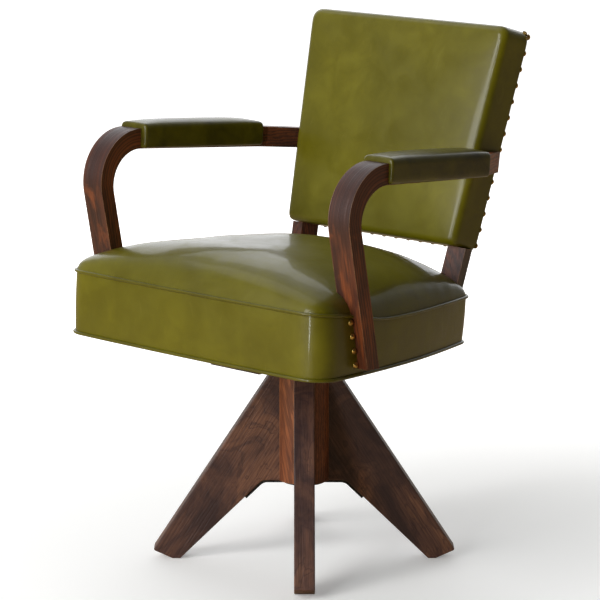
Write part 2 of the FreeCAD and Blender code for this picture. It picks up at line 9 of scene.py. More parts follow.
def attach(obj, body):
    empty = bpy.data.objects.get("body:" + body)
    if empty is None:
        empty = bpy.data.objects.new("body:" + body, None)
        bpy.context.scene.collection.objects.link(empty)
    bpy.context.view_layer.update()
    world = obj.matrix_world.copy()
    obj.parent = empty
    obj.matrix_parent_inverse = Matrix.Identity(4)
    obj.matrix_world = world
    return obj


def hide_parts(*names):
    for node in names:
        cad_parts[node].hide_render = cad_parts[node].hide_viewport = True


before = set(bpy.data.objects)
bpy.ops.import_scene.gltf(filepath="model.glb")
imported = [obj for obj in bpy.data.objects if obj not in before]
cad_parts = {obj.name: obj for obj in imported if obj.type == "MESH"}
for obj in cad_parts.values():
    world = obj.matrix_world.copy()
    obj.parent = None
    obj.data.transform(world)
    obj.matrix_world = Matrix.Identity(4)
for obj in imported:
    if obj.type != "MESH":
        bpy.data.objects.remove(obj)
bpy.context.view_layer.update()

# ---- driving dimensions, metres -----------------------------------------------------------------
SEAT_RAKE = math.radians(2.7)      # the seat group is drawn level, then raked about a cross axis
RAKE_Z = 0.420
BASE_YAW = math.radians(43.2)
LEG_GRAIN_SLOPE = math.radians(32)
LEATHER_T = 0.002

SEAT_BOTTOM_Z = 0.354
SEAT_FRONT_Y = -0.256
SEAT_REAR_Y = 0.188
EDGE_Z_FRONT = 0.456               # seam round the top of the seat: front, then sides and rear
EDGE_Z_BACK = 0.430
EDGE_FALL_Y = -0.160               # the seam steps down from one to the other about here
EDGE_FALL_LENGTH = 0.032
CROWN_H = 0.086
CROWN_FULLNESS = 0.45              # 1 is a plain dome, smaller is fuller towards its edges
SEAT_SEAM_R = 0.0025
REAR_TAPER = 0.004                 # the boxing draws in this much at the foot of its rear corners
TAPER_START_Y = -0.020
BOXING_ROWS = 12
BOXING_BELLY = 0.0010

BACK_Y = 0.141                     # lower front edge of the back, in the level drawing
BACK_Z = 0.512
BACK_LEAN = math.radians(12.67)
BACK_H = 0.351
BACK_HALF_LOW = 0.179
BACK_HALF_TOP = 0.208
BACK_T = 0.060
BACK_CORNER_R = 0.016
BACK_EDGE_R = 0.013                # rounding from the front of the back to its sides
BACK_CROWN = 0.006
REAR_CROWN = 0.003

ARM_LEAN = math.radians(10.9)      # of the arm's post on the chair
BEND_CENTRE = (-0.1255, 0.5951)    # of the arm's bend: y and z on the chair

PAD_REAR = (0, 0.118, 0.6305)      # foot of the pads' rear ends
PAD_TILT = math.radians(1.95)      # the pads rise to the front
PAD_EDGE_R = 0.006
PAD_CROWN = 0.005
PAD_END_R = 0.004

# cloth simulation of each leather piece: the pressure, and the furthest that a point may move
SEAT_PUFF = (3.0, 0.008)
BACK_PUFF = (1.6, 0.003)
REAR_PUFF = (1.0, 0.002)
PAD_PUFF = (2.5, 0.002)
SIMULATED_FRAMES = 20

GATHER_REACH = 0.026               # gathers at the seat's seam: how far they run in, and their heights
GATHER_H = 0.0050
FINE_GATHER_H = 0.0022
TOP_WAVES_H = 0.0016               # slow unevenness of the whole top

CLOTH_INSET = 0.010                # dust cloth: how far its edge is in from the seat's
CLOTH_SAG = 0.0009
CLOTH_WAVES = 0.0004

CELL = 0.0075                      # spacing of the leather meshes
SEAT_ACROSS = round(0.50 / CELL)   # cells over the seat and the back
SEAT_ALONG = round(0.45 / CELL)
BACK_ACROSS = round(0.37 / CELL)
BACK_ALONG = round(0.34 / CELL)

LEVEL_TO_CHAIR = (Matrix.Translation((0, 0, RAKE_Z)) @ Matrix.Rotation(-SEAT_RAKE, 4, "X")
                  @ Matrix.Translation((0, 0, -RAKE_Z)))
CHAIR_TO_LEVEL = LEVEL_TO_CHAIR.inverted()
BACK_TO_CHAIR = (LEVEL_TO_CHAIR @ Matrix.Translation((0, BACK_Y, BACK_Z))
                 @ Matrix.Rotation(-BACK_LEAN, 4, "X"))
CHAIR_TO_BACK = BACK_TO_CHAIR.inverted()
PAD_TO_CHAIR = LEVEL_TO_CHAIR @ Matrix.Translation(PAD_REAR) @ Matrix.Rotation(-PAD_TILT, 4, "X")


# ---- shader helpers -----------------------------------------------------------------------------
def rgb(red, green, blue):
    """Linear colour from 0-255 display values."""
    linear = [((c / 255 + 0.055) / 1.055) ** 2.4 if c > 10 else c / 255 / 12.92 for c in (red, green, blue)]
    return (*linear, 1.0)


def node(tree, kind, inputs=None, **settings):
    """Add a shader node; inputs maps a socket to a value or to another node's socket."""
    made = tree.nodes.new(kind)
    for key, value in settings.items():
        setattr(made, key, value)
    for key, value in (inputs or {}).items():
        if isinstance(value, bpy.types.NodeSocket):
            tree.links.new(value, made.inputs[key])
        else:
            made.inputs[key].default_value = value
    return made


def mixed(tree, share, first, second):
    """Blend from first to second; share is how much of the second."""
    return node(tree, "ShaderNodeMix", {0: share, 6: first, 7: second}, data_type="RGBA").outputs[2]


def ramp(tree, value, stops, smooth=False):
    made = node(tree, "ShaderNodeValToRGB", {0: value})
    while len(made.color_ramp.elements) < len(stops):
        made.color_ramp.elements.new(0.5)
    for element, (place, colour) in zip(made.color_ramp.elements, stops):
        element.position = place
        element.color = colour if isinstance(colour, tuple) else (colour, colour, colour, 1)
    if smooth:
        made.color_ramp.interpolation = "EASE"
    return made.outputs[0]


def maths(tree, operation, first, second=0.0, clamp=False, third=0.0):
    made = node(tree, "ShaderNodeMath", {0: first, 1: second, 2: third}, operation=operation, use_clamp=clamp)
    return made.outputs[0]


def cloud(tree, where, scale, detail=3.0, rough=0.5, warp=0.0):
    inputs = {"Vector": where, "Scale": scale, "Detail": detail, "Roughness": rough, "Distortion": warp}
    return node(tree, "ShaderNodeTexNoise", inputs).outputs["Fac"]


def placed(tree, rotation=(0, 0, 0), scale=(1, 1, 1)):
    """Object coordinates, turned and then stretched."""
    where = node(tree, "ShaderNodeTexCoord").outputs["Object"]
    spun = node(tree, "ShaderNodeMapping", {"Vector": where, "Rotation": rotation}).outputs[0]
    return node(tree, "ShaderNodeMapping", {"Vector": spun, "Scale": scale}).outputs[0]


def bumped(tree, height, distance, strength=1.0, below=None):
    inputs = {"Height": height, "Distance": distance, "Strength": strength}
    if below is not None:
        inputs["Normal"] = below
    return node(tree, "ShaderNodeBump", inputs).outputs[0]


def edge_wear_and_highlight(tree, radius):
    """1 on sharp edges, 0 on flat faces. Used for rubbed wear; on the wood it is also a painted highlight."""
    soft = node(tree, "ShaderNodeBevel", {"Radius": radius}, samples=6).outputs[0]
    flat = node(tree, "ShaderNodeNewGeometry").outputs["Normal"]
    across = node(tree, "ShaderNodeVectorMath", {0: soft, 1: flat}, operation="DOT_PRODUCT").outputs["Value"]
    return ramp(tree, across, [(0.80, 1.0), (0.985, 0.0)])


def material(name, **fixed):
    """A material with a Principled shader whose fixed values sit on its own sockets."""
    made = bpy.data.materials.new(name)
    made.use_nodes = True
    tree = made.node_tree
    shader = tree.nodes["Principled BSDF"]
    for key, value in fixed.items():
        shader.inputs[key.replace("_", " ")].default_value = value
    return made, tree, shader


def feed(tree, shader, **sockets):
    for key, value in sockets.items():
        tree.links.new(value, shader.inputs[key.replace("_", " ")])


# ---- materials ----------------------------------------------------------------------------------
def leather_material(name, tone=1.0, dark=0.0):
    """Glossy olive hide: mottled dye, fine pebble grain, rubbed and darkened places."""
    made, tree, shader = material(name, Specular_IOR_Level=0.26, Coat_Weight=0.32, Coat_Roughness=0.09,
                                  Coat_IOR=1.45)
    where = placed(tree)
    broad = cloud(tree, where, 5.5, 4.0, 0.55, 0.3)
    patches = cloud(tree, where, 21.0, 5.0, 0.62, 0.6)
    scuffs = cloud(tree, placed(tree, scale=(1, 1, 0.35)), 46.0, 6.0, 0.7, 1.2)
    hide = ramp(tree, broad, [(0.30, rgb(88 * tone, 82 * tone, 4)), (0.52, rgb(101 * tone, 95 * tone, 5)),
                              (0.72, rgb(114 * tone, 107 * tone, 10))])
    hide = mixed(tree, ramp(tree, patches, [(0.36, 0.42), (0.62, 0.0)]), hide,
                 rgb(82 * tone, 75 * tone, 3))
    hide = mixed(tree, ramp(tree, scuffs, [(0.60, 0.0), (0.78, 0.22)]), hide, rgb(140, 132, 54))
    if dark:
        stain = cloud(tree, where, 12.0, 4.0, 0.6, 0.8)
        hide = mixed(tree, ramp(tree, stain, [(0.34, dark), (0.66, 0.0)]), hide, rgb(34, 24, 8))
    pebble = node(tree, "ShaderNodeTexVoronoi", {"Vector": where, "Scale": 620.0},
                  feature="DISTANCE_TO_EDGE").outputs["Distance"]
    creases = node(tree, "ShaderNodeTexVoronoi", {"Vector": placed(tree, scale=(1, 0.6, 1)), "Scale": 190.0},
                   feature="DISTANCE_TO_EDGE").outputs["Distance"]
    folds = cloud(tree, where, 30.0, 3.0, 0.5, 0.5)
    grain = bumped(tree, ramp(tree, pebble, [(0.0, 0.0), (0.22, 1.0)]), 0.00005, 0.55)
    grain = bumped(tree, ramp(tree, creases, [(0.0, 0.0), (0.10, 1.0)]), 0.00005, 0.35, grain)
    grain = bumped(tree, folds, 0.0009, 0.30, grain)
    feed(tree, shader, Base_Color=hide, Normal=grain,
         Roughness=ramp(tree, patches, [(0.3, 0.30), (0.7, 0.44)]))
    return made


def straight(rotation):
    """Space of a straight board: its grain runs along Z after the rotation."""
    return lambda tree, scale=(1, 1, 1): placed(tree, rotation, scale)


def bent(tree, scale=(1, 1, 1)):
    """Space of a bent arm: Y runs through its thickness and Z along it, up the post and round the bend."""
    where = node(tree, "ShaderNodeTexCoord").outputs["Object"]
    axes = node(tree, "ShaderNodeSeparateXYZ", {0: where}).outputs
    forward = maths(tree, "SUBTRACT", axes["Y"], BEND_CENTRE[0])
    height = maths(tree, "SUBTRACT", axes["Z"], BEND_CENTRE[1])
    below = maths(tree, "MINIMUM", height, 0.0)
    leaning = maths(tree, "MULTIPLY_ADD", below, math.tan(ARM_LEAN), False, forward)
    before = maths(tree, "MINIMUM", leaning, 0.0)
    above = maths(tree, "MAXIMUM", height, 0.0)
    squares = maths(tree, "MULTIPLY_ADD", before, before, False, maths(tree, "MULTIPLY", above, above))
    through = maths(tree, "SQRT", squares)
    along = maths(tree, "SUBTRACT", below, maths(tree, "MAXIMUM", forward, 0.0))
    joined = node(tree, "ShaderNodeCombineXYZ", {0: axes["X"], 1: through, 2: along}).outputs[0]
    return node(tree, "ShaderNodeMapping", {"Vector": joined, "Scale": scale}).outputs[0]


def wood_material(name, space, pale, middle, dark, figure=7.0, swirl=1.2, worn=0.35, gloss=0.42, burl=0.0):
    """Stained hardwood; space gives coordinates whose Z runs along the grain."""
    made, tree, shader = material(name, Specular_IOR_Level=0.32, Coat_Weight=0.06, Coat_Roughness=0.25)
    flat = space(tree)
    wave = cloud(tree, space(tree, (1, 1, 0.34 + 0.5 * burl)), figure, 4.0, 0.55, swirl)
    rings = node(tree, "ShaderNodeTexWave",
                 {"Vector": space(tree, (1, 1, 0.09)), "Scale": 62.0, "Distortion": 7.0, "Detail": 3.0,
                  "Detail Scale": 1.4, "Detail Roughness": 0.6}, bands_direction="Y").outputs["Fac"]
    fibres = cloud(tree, space(tree, (1, 1, 0.03)), 560.0, 4.0, 0.7)
    pores = cloud(tree, space(tree, (1, 1, 0.05)), 330.0, 2.0, 0.5)
    colour = ramp(tree, wave, [(0.36, dark), (0.50, middle), (0.62, pale)])
    colour = mixed(tree, ramp(tree, rings, [(0.22, 0.60 - 0.35 * burl), (0.62, 0.0)]), colour, dark)
    if burl:
        contour = maths(tree, "FRACT", maths(tree, "MULTIPLY", wave, 11.0))
        lines = ramp(tree, contour, [(0.0, 0.75), (0.16, 0.18), (0.5, 0.0), (0.9, 0.10), (1.0, 0.75)])
        colour = mixed(tree, maths(tree, "MULTIPLY", lines, burl), colour, dark)
    colour = mixed(tree, ramp(tree, fibres, [(0.35, 0.40), (0.62, 0.0)]), colour, rgb(26, 16, 13))
    rubbed = cloud(tree, flat, 17.0, 5.0, 0.65, 0.5)
    colour = mixed(tree, ramp(tree, rubbed, [(0.54, 0.0), (0.75, worn)]), colour, pale)
    # Lighter tan along sharp edges: partly rubbed wear, partly a painted highlight standing in for light
    # caught on the rounded arrises.
    edges = edge_wear_and_highlight(tree, 0.0022)
    patchy = ramp(tree, cloud(tree, flat, 60.0, 4.0, 0.7), [(0.38, 0.10), (0.62, 0.80)])
    colour = mixed(tree, maths(tree, "MULTIPLY", edges, patchy), colour, rgb(176, 132, 92))
    holes = ramp(tree, pores, [(0.30, 0.0), (0.46, 1.0)])
    relief = bumped(tree, holes, 0.0004, 0.5)
    relief = bumped(tree, rings, 0.0005, 0.25, relief)
    relief = bumped(tree, rubbed, 0.0008, 0.25, relief)
    shine = ramp(tree, fibres, [(0.3, gloss + 0.2), (0.7, gloss)])
    feed(tree, shader, Base_Color=colour, Roughness=shine, Normal=relief)
    return made


def metal_material(name, bright, dull, low, high, metallic=1.0, scale=140.0):
    """Worn metal: bright where rubbed, dull in patches."""
    made, tree, shader = material(name, Metallic=metallic)
    where = placed(tree)
    tarnish = cloud(tree, where, scale, 5.0, 0.65, 0.4)
    fine = cloud(tree, where, scale * 7, 3.0, 0.6)
    colour = ramp(tree, tarnish, [(0.36, dull), (0.62, bright)])
    colour = mixed(tree, maths(tree, "MULTIPLY", edge_wear_and_highlight(tree, 0.0012), 0.5), colour, bright)
    feed(tree, shader, Base_Color=colour, Roughness=ramp(tree, tarnish, [(0.35, high), (0.65, low)]),
         Normal=bumped(tree, fine, 0.0002, 0.4))
    return made


def cloth_material(name, warp_colour, weft_colour, threads, depth):
    """Plain weave from two crossed sets of threads."""
    made, tree, shader = material(name, Sheen_Weight=0.3, Sheen_Roughness=0.5)
    where = placed(tree)
    crossed = []
    for direction in ("X", "Y"):
        inputs = {"Vector": where, "Scale": threads, "Distortion": 0.6, "Detail": 1.0}
        crossed.append(node(tree, "ShaderNodeTexWave", inputs, bands_direction=direction).outputs["Fac"])
    weave = maths(tree, "MULTIPLY", crossed[0], crossed[1])
    dust = cloud(tree, where, 30.0, 5.0, 0.65)
    colour = mixed(tree, weave, warp_colour, weft_colour)
    colour = mixed(tree, ramp(tree, dust, [(0.5, 0.0), (0.8, 0.35)]), colour, rgb(120, 112, 100))
    feed(tree, shader, Base_Color=colour, Normal=bumped(tree, weave, depth, 0.8),
         Roughness=ramp(tree, dust, [(0.3, 0.80), (0.7, 0.95)]))
    return made


UPRIGHT = (0.0, 0.0, 0.0)
LENGTHWISE = (math.radians(90), 0.0, 0.0)
CROSSWISE = (0.0, math.radians(90), 0.0)

leather = leather_material("green_leather")
pad_leather = leather_material("green_leather_handled", 0.92, 0.62)
piping_leather = leather_material("green_leather_piping", 0.95, 0.12)
ARM_TONES = (rgb(158, 84, 44), rgb(104, 58, 38), rgb(50, 32, 29))
arm_wood = wood_material("arm_wood", bent, *ARM_TONES, figure=10.0, swirl=0.5, worn=0.6, gloss=0.34)
stile_wood = wood_material("stile_wood", straight(UPRIGHT), *ARM_TONES, figure=8.0, swirl=0.4, worn=0.3)
column_wood = wood_material("column_wood", straight((0.0, math.radians(16), 0.0)), rgb(166, 98, 58),
                            rgb(134, 76, 46), rgb(88, 48, 33), figure=9.0, swirl=0.7, worn=0.4)
frame_wood = wood_material("frame_wood", straight(CROSSWISE), rgb(176, 138, 92), rgb(150, 112, 70),
                           rgb(118, 84, 52), figure=6.0, swirl=0.3)
board_wood = wood_material("board_wood", straight(LENGTHWISE), rgb(70, 46, 34), rgb(48, 32, 26),
                           rgb(28, 20, 18))
black_iron = metal_material("black_iron", rgb(70, 68, 66), rgb(26, 25, 25), 0.45, 0.7, 0.85)
steel = metal_material("steel", rgb(172, 170, 165), rgb(120, 112, 102), 0.22, 0.5)
brass = metal_material("antique_brass", rgb(222, 184, 104), rgb(140, 102, 48), 0.24, 0.46, scale=220.0)
jute = cloth_material("jute_webbing", rgb(150, 120, 80), rgb(104, 80, 52), 130.0, 0.0006)
cambric = cloth_material("black_cambric", rgb(30, 29, 29), rgb(16, 15, 16), 420.0, 0.0002)


def leg_wood(name, yaw):
    """Grain of a leg board, which runs down its slope; yaw is the leg's direction from -Y."""
    turn = Matrix.Rotation(LEG_GRAIN_SLOPE, 3, "X") @ Matrix.Rotation(-yaw, 3, "Z")
    return wood_material(name, straight(tuple(turn.to_euler())), rgb(134, 92, 70), rgb(98, 68, 58),
                         rgb(66, 46, 44), figure=8.0, swirl=1.6, worn=0.3, gloss=0.40, burl=0.9)


def paint(name, finish):
    """Give a CAD node its material."""
    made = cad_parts[name]
    made.data.materials.clear()
    made.data.materials.append(finish)


CAD_FINISHES = {
    arm_wood: ("left_arm", "right_arm"),
    stile_wood: ("left_stile", "right_stile"),
    column_wood: ("column",),
    frame_wood: ("seat_rail_front", "seat_rail_rear", "seat_rail_left", "seat_rail_right",
                 "cross_bearer_front", "cross_bearer_rear",
                 "back_rail_bottom", "back_rail_middle", "back_rail_top"),
    board_wood: ("mounting_board",),
    black_iron: ("cross_strap", "bearing_plate", "seat_iron", "adjusting_nut", "cross_strap_screws",
                 "seat_iron_bolts"),
    steel: ("spindle", "turning_sleeve", "socket_tube", "thrust_washer", "bearing_plate_screws",
            "arm_post_screws", "arm_rear_screws"),
    brass: ("back_nails_left", "back_nails_right", "back_nails_top", "back_nails_bottom", "left_seat_nails",
            "right_seat_nails"),
    jute: ("seat_webbing",),
}
for finish, names in CAD_FINISHES.items():
    for name in names:
        paint(name, finish)
for i, name in enumerate(("leg_front", "leg_right", "leg_rear", "leg_left")):
    paint(name, leg_wood(name + "_wood", BASE_YAW + i * math.pi / 2))


# ---- mesh helpers -------------------------------------------------------------------------------
def spread(points, count):
    """The open polyline again, as count equal runs."""
    lengths = [0.0]
    for a, b in zip(points, points[1:]):
        lengths.append(lengths[-1] + (b - a).length)
    made = []
    place = 0
    for i in range(count + 1):
        goal = lengths[-1] * i / count
        while place < len(points) - 2 and lengths[place + 1] < goal:
            place += 1
        run = max(lengths[place + 1] - lengths[place], 1e-9)
        made.append(points[place].lerp(points[place + 1], min(max((goal - lengths[place]) / run, 0), 1)))
    return made


def four_sided(loop, corners, counts):
    """Resample a closed loop so that each side, from corner to corner, has its own number of runs.
    corners are the loop indexes of the four corners in order."""
    made = []
    for i in range(4):
        start, end = corners[i], corners[(i + 1) % 4]
        if end <= start:
            end += len(loop)
        side = [loop[k % len(loop)] for k in range(start, end + 1)]
        made += spread(side, counts[i % 2])[:-1]
    return made


def rounded_loop(corners, arc_steps=8):
    """Closed 2-D loop through (a, b, radius) corners, and the index of the middle of each corner."""
    loop, middles = [], []
    for i, (a, b, radius) in enumerate(corners):
        here = Vector((a, b))
        before = (Vector(corners[i - 1][:2]) - here).normalized()
        after = (Vector(corners[(i + 1) % len(corners)][:2]) - here).normalized()
        half = before.angle(after) / 2
        bisector = (before + after).normalized()
        centre = here + bisector * (radius / math.sin(half))
        sweep = math.pi - 2 * half
        turn = 1 if before.cross(after) < 0 else -1
        for k in range(arc_steps + 1):
            angle = turn * sweep * (k / arc_steps - 0.5)
            loop.append(centre + Matrix.Rotation(angle, 2) @ (-bisector * radius))
        middles.append(len(loop) - 1 - arc_steps // 2)
    return loop, middles


def grid_faces(mesh, rows, closed):
    """Quads between rows of points."""
    made = [[mesh.verts.new(p) for p in row] for row in rows]
    width = len(rows[0])
    for low, high in zip(made, made[1:]):
        for k in range(width if closed else width - 1):
            mesh.faces.new((low[k], low[(k + 1) % width], high[(k + 1) % width], high[k]))


def coons(loop, across, along):
    """Rows of points inside a loop that was made by four_sided with counts (across, along)."""
    first = loop[:across + 1]
    right = loop[across:across + along + 1]
    last = loop[across + along:2 * across + along + 1][::-1]
    left = (loop[2 * across + along:] + loop[:1])[::-1]
    rows = []
    for j in range(along + 1):
        v = j / along
        row = []
        for i in range(across + 1):
            u = i / across
            edges = first[i] * (1 - v) + last[i] * v + left[j] * (1 - u) + right[j] * u
            corners = (first[0] * (1 - v) + last[0] * v) * (1 - u) + (first[-1] * (1 - v) + last[-1] * v) * u
            row.append(edges - corners)
        rows.append(row)
    return rows


def crowned(rows, rise, fullness, direction):
    """Push the middle of a patch out along a direction."""
    height, width = len(rows) - 1, len(rows[0]) - 1
    for j, row in enumerate(rows):
        for i in range(len(row)):
            flatness = (1 - (2 * i / width - 1) ** 2) * (1 - (2 * j / height - 1) ** 2)
            row[i] = row[i] + direction * (rise * flatness ** fullness)
    return rows


def piece(name, patches, bands, finish):
    """One object on the seat body, from open patches and closed bands of rows, welded, faces outward."""
    mesh = bmesh.new()
    for rows in patches:
        grid_faces(mesh, rows, False)
    for rows in bands:
        grid_faces(mesh, rows, True)
    bmesh.ops.remove_doubles(mesh, verts=mesh.verts, dist=1e-5)
    bmesh.ops.dissolve_degenerate(mesh, edges=mesh.edges, dist=1e-6)
    bmesh.ops.recalc_face_normals(mesh, faces=mesh.faces)
    data = bpy.data.meshes.new(name)
    mesh.to_mesh(data)
    mesh.free()
    made = bpy.data.objects.new(name, data)
    bpy.context.scene.collection.objects.link(made)
    data.materials.append(finish)
    for face in data.polygons:
        face.use_smooth = True
    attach(made, "seat")
    return made


def tube(name, path, radius, finish, sides=10):
    """A round cord along a closed path of points."""
    count = len(path)
    rows = []
    for i, here in enumerate(path):
        ahead = (path[(i + 1) % count] - path[i - 1]).normalized()
        side = ahead.cross(Vector((0, 0, 1))).normalized()
        up = side.cross(ahead)
        rows.append([here + side * radius * math.cos(k * math.tau / sides) + up * radius
                     * math.sin(k * math.tau / sides) for k in range(sides)])
    rows.append(rows[0])
    return piece(name, [], [rows], finish)


SIMULATED = []


def puff(made, held, pressure, cap):
    """Mark a leather piece for the cloth simulation: held(point) is how firmly a point is fixed, 0 to 1,
    and no point moves further than cap."""
    group = made.vertex_groups.new(name="held")
    for v in made.data.vertices:
        group.add([v.index], held(v.co), "REPLACE")
    cloth = made.modifiers.new("cloth", "CLOTH")
    settings = cloth.settings
    settings.quality = 6
    settings.mass = 0.4
    settings.tension_stiffness = 30
    settings.compression_stiffness = 30
    settings.shear_stiffness = 12
    settings.bending_stiffness = 3
    settings.vertex_group_mass = "held"
    settings.use_pressure = True
    settings.uniform_pressure_force = pressure
    settings.effector_weights.gravity = 0
    cloth.collision_settings.use_collision = False
    SIMULATED.append((made, cap))


def settle():
    """Run the cloth simulation and keep its shapes, no point further than its piece's cap."""
    scene = bpy.context.scene
    for i in range(SIMULATED_FRAMES):
        scene.frame_set(i + 1)
    graph = bpy.context.evaluated_depsgraph_get()
    finals = []
    for made, cap in SIMULATED:
        moved = [v.co.copy() for v in made.evaluated_get(graph).data.vertices]
        finals.append((made, cap, moved))
    for made, cap, moved in finals:
        for v, goal in zip(made.data.vertices, moved):
            step = goal - v.co
            v.co = v.co + step * min(1.0, cap / max(step.length, 1e-9))
    scene.frame_set(1)


def finish_leather():
    """After the simulation: drop the cloth and add one subdivision to each leather piece."""
    for made, _ in SIMULATED:
        cloth = made.modifiers.get("cloth")
        if cloth:
            made.modifiers.remove(cloth)
        smooth = made.modifiers.new("smooth", "SUBSURF")
        smooth.levels = 1
        smooth.render_levels = 1


def smoothstep(low, high, value):
    t = min(max((value - low) / (high - low), 0.0), 1.0)
    return t * t * (3 - 2 * t)


# ---- seat ---------------------------------------------------------------------------------------
def seat_loop():
    """Plan outline of the leather round the seat, level, from the edge of the dust cover."""
    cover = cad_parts["dust_cover"].data
    level = [CHAIR_TO_LEVEL @ v.co for v in cover.vertices]
    height = (min(p.z for p in level) + max(p.z for p in level)) / 2
    middle = Vector((0, (min(p.y for p in level) + max(p.y for p in level)) / 2, height))
    walls = BVHTree.FromPolygons(level, [list(face.vertices) for face in cover.polygons])
    loop = []
    steps = 720
    for k in range(steps):
        outward = Vector((math.cos(k * math.tau / steps), math.sin(k * math.tau / steps), 0))
        hit = walls.ray_cast(middle + outward, -outward)[0]
        loop.append(Vector((hit.x, hit.y)))
    grown = []
    for k, here in enumerate(loop):
        along = (loop[(k + 2) % steps] - loop[k - 2]).normalized()
        grown.append(here + Vector((along.y, -along.x)) * LEATHER_T)
    return grown


def outward_of(loop):
    made = []
    for k in range(len(loop)):
        along = (loop[(k + 1) % len(loop)] - loop[k - 1]).normalized()
        made.append(Vector((along.y, -along.x, 0)))
    return made


def edge_height(y):
    """Height of the seam round the top of the seat."""
    return EDGE_Z_BACK + (EDGE_Z_FRONT - EDGE_Z_BACK) / (1 + math.exp((y - EDGE_FALL_Y) / EDGE_FALL_LENGTH))


def build_seat():
    raw = seat_loop()
    corners = []
    for way in ((-1, -1), (1, -1), (1, 1), (-1, 1)):
        corners.append(max(range(len(raw)), key=lambda k: raw[k].dot(Vector(way))))
    plan = four_sided(raw, corners, (SEAT_ACROSS, SEAT_ALONG))
    seam = [Vector((p.x, p.y, edge_height(p.y))) for p in plan]
    outward = outward_of(plan)

    rows = coons(seam, SEAT_ACROSS, SEAT_ALONG)
    for row in rows:
        for point in row:
            point.z = edge_height(max(point.y, SEAT_FRONT_Y))
    top = crowned(rows, CROWN_H, CROWN_FULLNESS, Vector((0, 0, 1)))

    taper = [REAR_TAPER * smoothstep(TAPER_START_Y, SEAT_REAR_Y, p.y) for p in seam]
    boxing = []
    for j in range(BOXING_ROWS + 1):
        t = j / BOXING_ROWS
        belly = BOXING_BELLY * math.sin(math.pi * t)
        boxing.append([Vector((p.x, p.y, p.z + (SEAT_BOTTOM_Z - p.z) * t)) + n * (belly - draw * t)
                       for p, n, draw in zip(seam, outward, taper)])
    under = [[Vector((p.x, p.y, SEAT_BOTTOM_Z)) - n * (inset + draw)
              for p, n, draw in zip(seam, outward, taper)]
             for inset in (0.0, 0.006, 0.012)]
    to_chair = [[LEVEL_TO_CHAIR @ p for p in row] for row in top]
    bands = [[[LEVEL_TO_CHAIR @ p for p in row] for row in band] for band in (boxing, under)]
    cover = piece("seat_leather", [to_chair], bands, leather)
    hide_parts("seat_cover", "seat_stuffing")

    def held(point):
        level = CHAIR_TO_LEVEL @ point
        return 1.0 - smoothstep(0.0, 0.004, level.z - edge_height(level.y))

    puff(cover, held, *SEAT_PUFF)

    top_path = [Vector((p.x, p.y, p.z - 0.001)) + n * (SEAT_SEAM_R * 0.55) for p, n in zip(seam, outward)]
    foot_z = SEAT_BOTTOM_Z + SEAT_SEAM_R
    foot_path = [Vector((p.x, p.y, foot_z)) + n * (SEAT_SEAM_R * 0.55 - draw)
                 for p, n, draw in zip(seam, outward, taper)]
    for name, path, replaced in (("seat_top_cord", top_path, "seat_top_piping"),
                                 ("seat_bottom_cord", foot_path, "seat_bottom_piping")):
        cord = tube(name, [LEVEL_TO_CHAIR @ p for p in path], SEAT_SEAM_R, piping_leather)
        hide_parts(replaced)
    return cover, seam, outward


def gather_seat(cover):
    """Soft gathers that run in from the seam, strongest along the rear of the sides."""
    for v in cover.data.vertices:
        level = CHAIR_TO_LEVEL @ v.co
        rise = level.z - edge_height(level.y)
        if rise < 0.001:
            continue
        near = math.exp(-rise / GATHER_REACH) * smoothstep(0.0, 0.012, rise)
        rearward = 0.30 + 0.70 * smoothstep(-0.10, 0.10, level.y)
        along = level.y if abs(level.x) > 0.8 * abs(level.y) else level.x
        ripple = noise.noise(Vector((along * 46, rise * 9, 3.0)))
        fine = noise.noise(Vector((along * 110, rise * 22, 7.0)))
        v.co.z += near * rearward * (GATHER_H * ripple + FINE_GATHER_H * fine)
        v.co.z += TOP_WAVES_H * noise.noise(level * 14) * smoothstep(0.02, 0.05, rise)


seat_cover, seat_seam, seat_outward = build_seat()


# ---- dust cover ---------------------------------------------------------------------------------
def build_dust_cover():
    """Black cloth under the seat, pulled flat and tacked round its edge."""
    level_z = SEAT_BOTTOM_Z + 0.0005
    loop = [Vector((p.x, p.y, level_z)) - n * CLOTH_INSET for p, n in zip(seat_seam, seat_outward)]
    rows = coons(loop, SEAT_ACROSS, SEAT_ALONG)
    for j, row in enumerate(rows):
        for i, point in enumerate(row):
            a = 1 - (2 * i / SEAT_ACROSS - 1) ** 2
            b = 1 - (2 * j / SEAT_ALONG - 1) ** 2
            point.z -= CLOTH_SAG * (a * b) ** 0.5 + CLOTH_WAVES * noise.noise(point * 40)
    cloth = piece("dust_cloth", [[[LEVEL_TO_CHAIR @ p for p in row] for row in rows]], [], cambric)
    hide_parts("dust_cover")


# ---- back ---------------------------------------------------------------------------------------
def back_half(z):
    return BACK_HALF_LOW + (BACK_HALF_TOP - BACK_HALF_LOW) * z / BACK_H


def back_outline(inset):
    """Outline of the back seen from the front, drawn in by inset: (x, z) with rounded corners."""
    top_r = max(BACK_CORNER_R - inset * 0.4, 0.004)
    low_r = max(BACK_CORNER_R * 0.5 - inset * 0.4, 0.003)
    low, high = inset, BACK_H - inset
    corners = [(-back_half(low) + inset, low, low_r), (back_half(low) - inset, low, low_r),
               (back_half(high) - inset, high, top_r), (-back_half(high) + inset, high, top_r)]
    loop, middles = rounded_loop(corners)
    return four_sided(loop, middles, (BACK_ACROSS, BACK_ALONG))


def back_row(inset, depth):
    return [Vector((p.x, depth, p.y)) for p in back_outline(inset)]


def to_back(rows):
    return [[BACK_TO_CHAIR @ p for p in row] for row in rows]


def from_border(point):
    """How far inside the back's outline a point on the chair is."""
    local = CHAIR_TO_BACK @ point
    return min(back_half(local.z) - abs(local.x), local.z, BACK_H - local.z)


